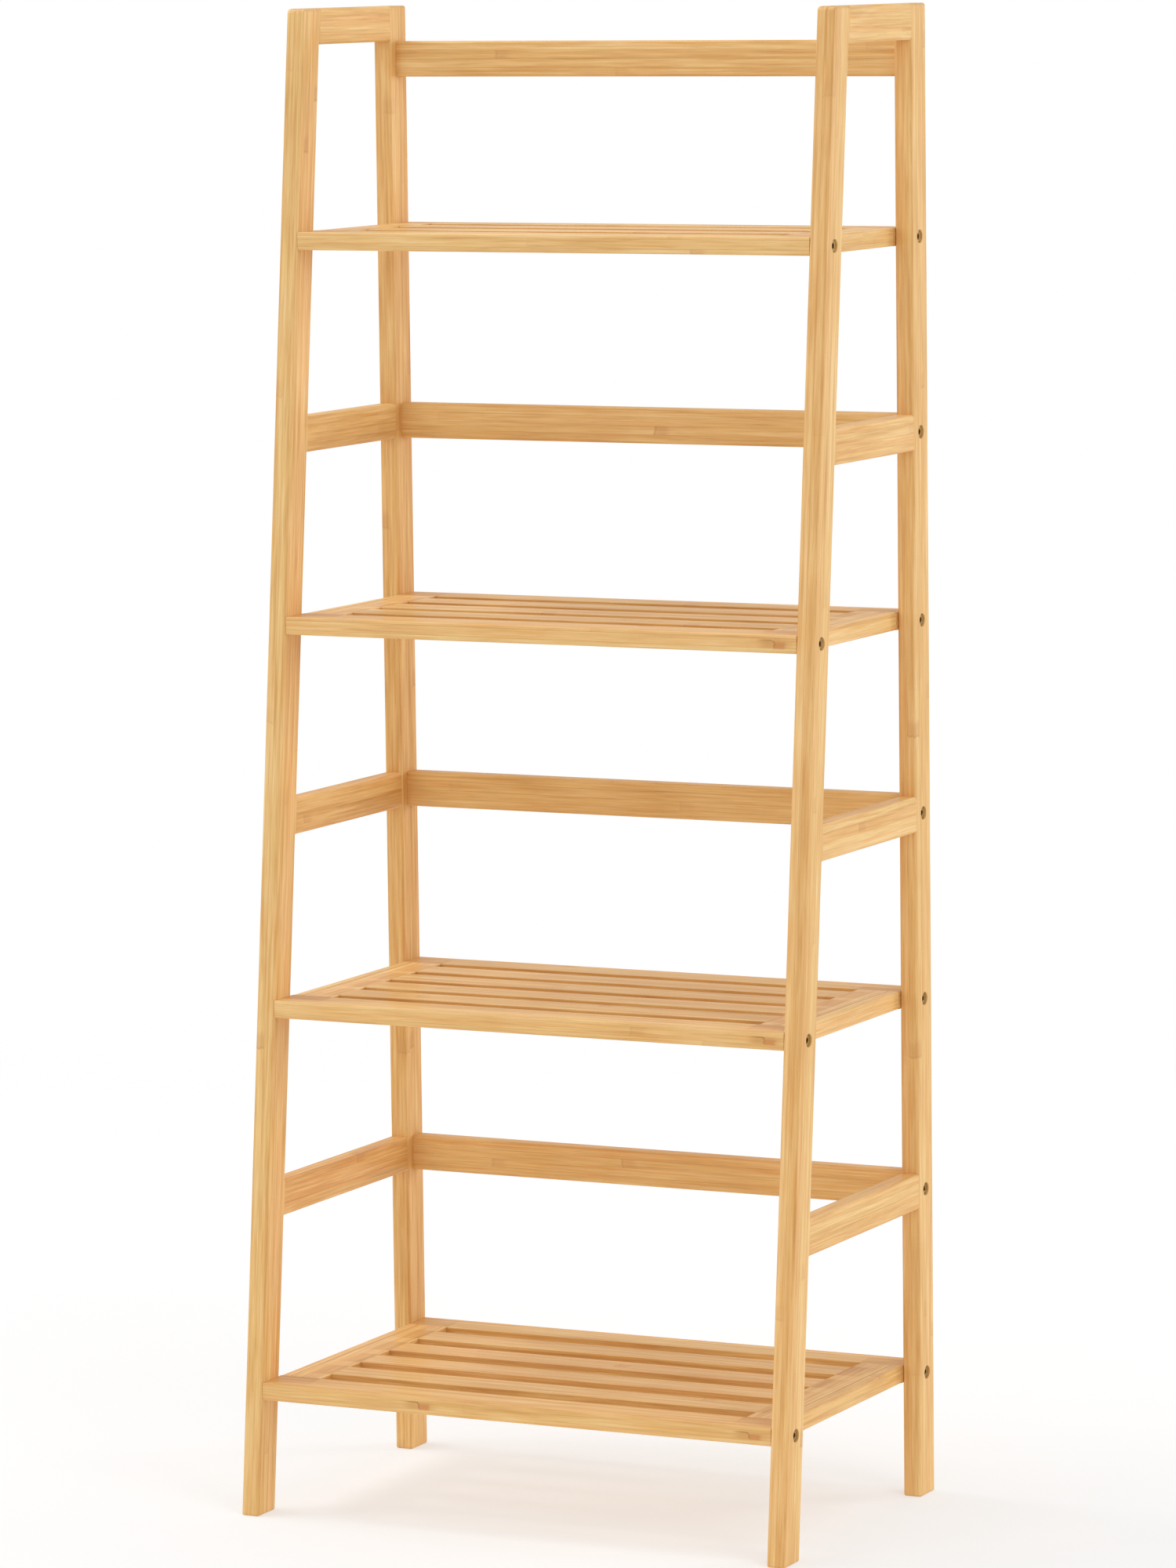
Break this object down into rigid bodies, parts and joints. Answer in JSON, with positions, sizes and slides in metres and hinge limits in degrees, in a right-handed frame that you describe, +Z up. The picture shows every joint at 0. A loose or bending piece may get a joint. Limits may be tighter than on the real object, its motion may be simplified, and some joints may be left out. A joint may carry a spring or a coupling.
{
  "type": "ladder shelf",
  "caption": "Tall open ladder shelf in bamboo: upright rear legs, raked front legs, slatted shelves that deepen towards the floor, and back and side rails.",
  "frame": {"origin": "middle of the footprint, on the floor", "axes": "+X towards the shelf's right as seen from the front, -Y towards the front, +Z up"},
  "size_m": [0.498, 0.309, 1.25],
  "materials": {
    "bamboo": "clear satin lacquer over laminated bamboo",
    "screws": "antique bronze plating, satin",
    "dowels": "unfinished beech"
  },
  "bodies": {
    "root": {"left_front_leg": "bamboo", "right_front_leg": "bamboo", "left_rear_leg": "bamboo", "right_rear_leg": "bamboo", "left_top_rail": "bamboo", "right_top_rail": "bamboo", "left_side_rail_1": "bamboo", "left_side_rail_2": "bamboo", "left_side_rail_3": "bamboo", "right_side_rail_1": "bamboo", "right_side_rail_2": "bamboo", "right_side_rail_3": "bamboo", "top_back_rail": "bamboo", "back_rail_1": "bamboo", "back_rail_2": "bamboo", "back_rail_3": "bamboo", "shelf_1_front_rail": "bamboo", "shelf_2_front_rail": "bamboo", "shelf_3_front_rail": "bamboo", "shelf_4_front_rail": "bamboo", "shelf_1_rear_rail": "bamboo", "shelf_2_rear_rail": "bamboo", "shelf_3_rear_rail": "bamboo", "shelf_4_rear_rail": "bamboo", "shelf_1_left_end": "bamboo", "shelf_2_left_end": "bamboo", "shelf_3_left_end": "bamboo", "shelf_4_left_end": "bamboo", "shelf_1_right_end": "bamboo", "shelf_2_right_end": "bamboo", "shelf_3_right_end": "bamboo", "shelf_4_right_end": "bamboo", "shelf_1_slat_1": "bamboo", "shelf_1_slat_2": "bamboo", "shelf_1_slat_3": "bamboo", "shelf_1_slat_4": "bamboo", "shelf_2_slat_1": "bamboo", "shelf_2_slat_2": "bamboo", "shelf_2_slat_3": "bamboo", "shelf_2_slat_4": "bamboo", "shelf_3_slat_1": "bamboo", "shelf_3_slat_2": "bamboo", "shelf_3_slat_3": "bamboo", "shelf_4_slat_1": "bamboo", "shelf_4_slat_2": "bamboo", "shelf_screws": "screws", "back_rail_screws": "screws", "frame_dowels": "dowels", "shelf_dowels": "dowels", "back_rail_dowels": "dowels"}
  },
  "joints": []
}
